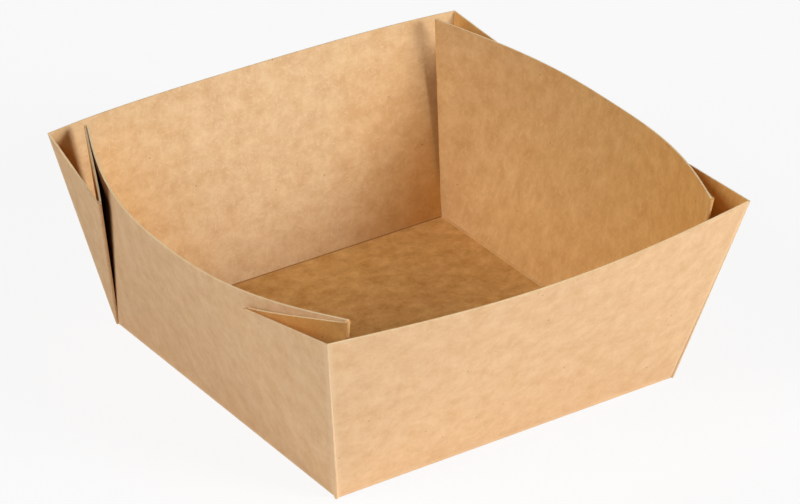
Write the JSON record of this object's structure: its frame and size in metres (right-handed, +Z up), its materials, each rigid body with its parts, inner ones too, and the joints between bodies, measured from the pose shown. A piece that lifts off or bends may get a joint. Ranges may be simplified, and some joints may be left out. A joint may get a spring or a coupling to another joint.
{
  "type": "takeaway tray",
  "caption": "Open square takeaway tray folded from one sheet of kraft paperboard, with flared bowed walls and a folded web tucked outside at every corner.",
  "frame": {"origin": "middle of the underside, on the surface that the tray stands on", "axes": "+Z up, +X to the right along the front wall, +Y to the back; the folded corner webs lie outside the left and right walls"},
  "size_m": [0.1328, 0.133, 0.0537],
  "materials": {
    "kraft_board": "uncoated brown kraft paperboard, matte, with a fine mottled fibre texture"
  },
  "bodies": {
    "root": {"tray": "kraft_board"}
  },
  "joints": []
}
